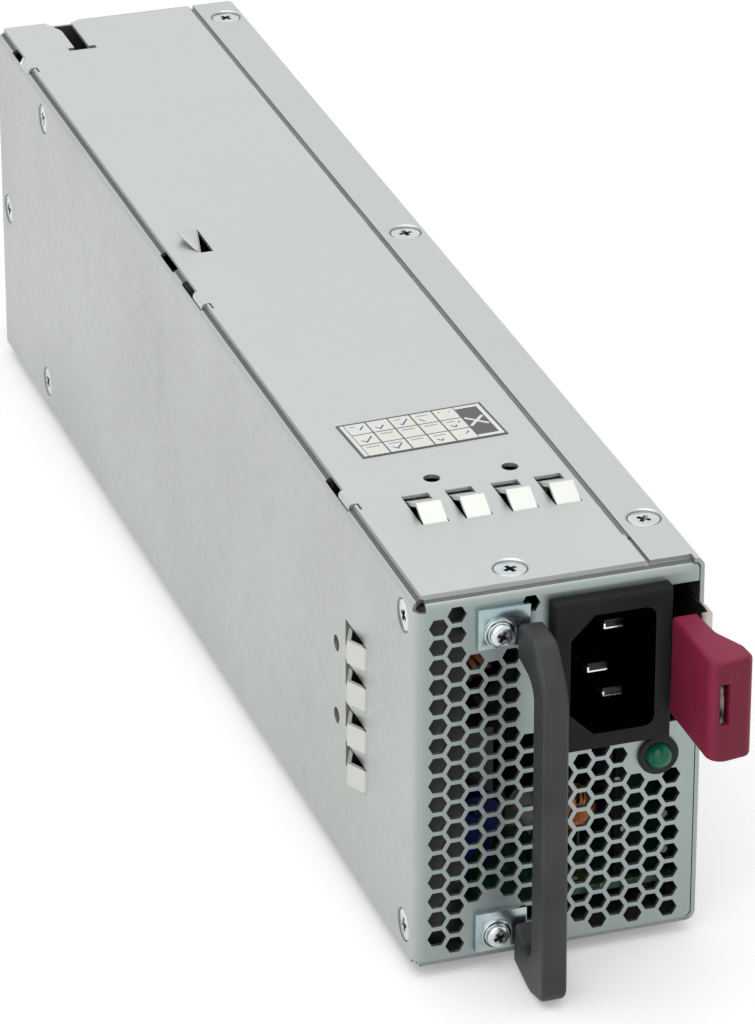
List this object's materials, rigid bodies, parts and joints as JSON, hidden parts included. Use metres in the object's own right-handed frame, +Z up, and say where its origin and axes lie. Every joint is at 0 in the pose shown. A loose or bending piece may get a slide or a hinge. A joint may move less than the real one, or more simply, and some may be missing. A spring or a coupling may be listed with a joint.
{
  "type": "hot swap server power supply",
  "caption": "Long zinc-plated steel server power supply with a honeycomb front vent, mains inlet, black loop handle, maroon release lever, status lamp and rear card edge.",
  "frame": {"origin": "centre of the underside of the case", "axes": "+X right as seen from the front, -Y towards the front with the inlet and handle, +Z up, the length of the case along Y"},
  "size_m": [0.0595, 0.3214, 0.0808],
  "materials": {
    "zinc_sheet": "satin zinc-plated sheet",
    "blue_zinc": "bluish bright zinc plate",
    "screw_steel": "bright plated screws",
    "spring_steel": "spring steel",
    "label_paper": "printed sticker film",
    "handle_plastic": "black moulded plastic, light sheen",
    "maroon_plastic": "maroon moulded plastic, satin",
    "black_plastic": "black moulded plastic",
    "pin_metal": "nickel-plated brass",
    "green_lens": "green tinted lamp",
    "board_green": "solder-masked board",
    "gold": "gold-plated contacts",
    "dark_sheet": "insulating sheet",
    "ceramic": "ceramic tube",
    "ferrite": "ferrite",
    "copper_wire": "enamelled copper",
    "yellow_block": "yellow moulded capacitor",
    "blue_disc": "blue epoxy",
    "can_sleeve": "sleeved capacitor can",
    "aluminium": "extruded",
    "tape": "winding tape"
  },
  "bodies": {
    "chassis": {"left_front_shell": "zinc_sheet", "right_bottom_shell": "zinc_sheet", "top_panel": "zinc_sheet", "rear_panel": "zinc_sheet", "fan_bracket": "zinc_sheet", "top_screws": "screw_steel", "side_screws": "screw_steel", "rating_label": "label_paper", "upper_handle_bracket": "blue_zinc", "lower_handle_bracket": "blue_zinc", "handle_grip": "handle_plastic", "handle_screws": "screw_steel", "inlet_housing": "black_plastic", "inlet_pins": "pin_metal", "inlet_board": "board_green", "led_bezel": "black_plastic", "status_led": "green_lens", "indicator_board": "board_green", "latch_rivets": "screw_steel", "main_board": "board_green", "edge_contacts": "gold", "board_standoffs": "pin_metal", "board_screws": "screw_steel", "insulation_sheet": "dark_sheet", "side_insulator": "dark_sheet", "line_fuse": "ceramic", "fuse_clips": "pin_metal", "y_capacitors": "blue_disc", "x_capacitor": "yellow_block", "filter_capacitor": "can_sleeve", "choke_core": "ferrite", "choke_windings": "copper_wire", "choke_stand": "black_plastic", "primary_heatsink": "aluminium", "bridge_rectifier": "black_plastic", "switching_transistors": "black_plastic", "boost_choke_core": "ferrite", "boost_choke_winding": "copper_wire", "bulk_capacitors": "can_sleeve", "transformer_core": "ferrite", "transformer_winding": "tape", "secondary_heatsink": "aluminium", "output_rectifiers": "black_plastic", "output_choke_core": "ferrite", "output_choke_winding": "copper_wire", "output_capacitors": "can_sleeve", "control_board": "board_green", "output_busbars": "copper_wire", "fan_frame": "black_plastic", "fan_screws": "screw_steel"},
    "latch": {"latch_arm": "spring_steel", "latch_lever": "maroon_plastic"},
    "rotor": {"fan_rotor": "black_plastic"}
  },
  "joints": [
    {"name": "latch_press", "type": "hinge", "parent": "chassis", "child": "latch", "pos_m": [0.0262, -0.0795, 0.0582], "axis": [0, 0, -1], "range_deg": [0, 2.4], "stiffness_Nm_per_rad": 14},
    {"name": "fan_spin", "type": "hinge", "parent": "chassis", "child": "rotor", "pos_m": [0, 0.107, 0.047], "axis": [0, 1, 0], "continuous": true}
  ]
}
